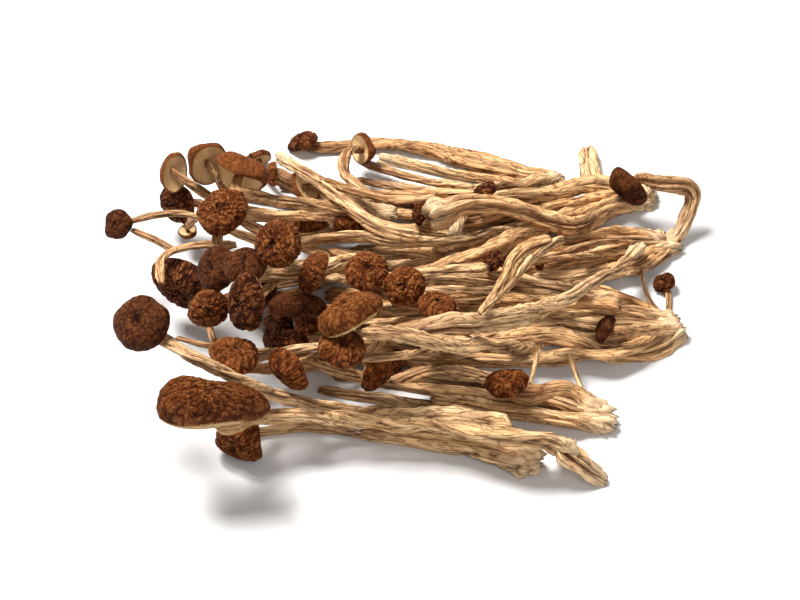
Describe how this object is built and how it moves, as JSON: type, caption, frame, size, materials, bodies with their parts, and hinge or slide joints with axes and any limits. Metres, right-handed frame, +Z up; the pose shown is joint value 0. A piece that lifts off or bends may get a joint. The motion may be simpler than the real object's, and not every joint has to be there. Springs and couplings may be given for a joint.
{
  "type": "pioppino mushroom cluster",
  "caption": "Heap of dried pioppino mushrooms lying on its side: wrinkled brown caps at one end, long furrowed straw stems grown together at pale roots.",
  "frame": {"origin": "on the table under the middle of the heap", "axes": "+Z up, +X to the right, along the stems towards most of their roots, +Y away from the viewer of the picture"},
  "size_m": [0.148, 0.1228, 0.0444],
  "materials": {
    "stem": "matte, dry, furrowed",
    "cap": "matte, wrinkled",
    "cap_underside": "matte, pale gilled underside"
  },
  "bodies": {
    "root": {"cap_01": "cap", "cap_02": "cap", "cap_03": "cap", "cap_04": "cap", "cap_05": "cap", "cap_06": "cap_underside", "cap_07": "cap", "cap_08": "cap", "cap_09": "cap_underside", "cap_10": "cap_underside", "cap_11": "cap_underside", "cap_12": "cap_underside", "cap_13": "cap", "cap_14": "cap", "cap_15": "cap", "cap_16": "cap", "cap_17": "cap", "cap_18": "cap", "cap_19": "cap", "cap_20": "cap", "cap_21": "cap", "cap_22": "cap", "cap_23": "cap", "cap_24": "cap", "cap_25": "cap", "cap_26": "cap", "cap_27": "cap", "cap_28": "cap", "cap_29": "cap", "cap_30": "cap", "cap_31": "cap", "cap_32": "cap", "cap_33": "cap", "cap_34": "cap", "cap_35": "cap", "cap_36": "cap_underside", "cap_37": "cap", "cap_38": "cap", "cap_39": "cap", "cap_40": "cap", "cap_41": "cap", "cap_42": "cap", "cap_43": "cap", "cap_44": "cap", "cap_45": "cap", "cap_46": "cap", "stems_bent": "stem", "stems_broad_back": "stem", "stems_crossing": "stem", "stems_far_left": "stem", "stems_far_root": "stem", "stems_fork": "stem", "stems_front_root": "stem", "stems_front_tail": "stem", "stems_left": "stem", "stems_left_front": "stem", "stems_long_slant": "stem", "stems_right_end": "stem", "stems_right_front": "stem", "stems_right_upper": "stem"}
  },
  "joints": []
}
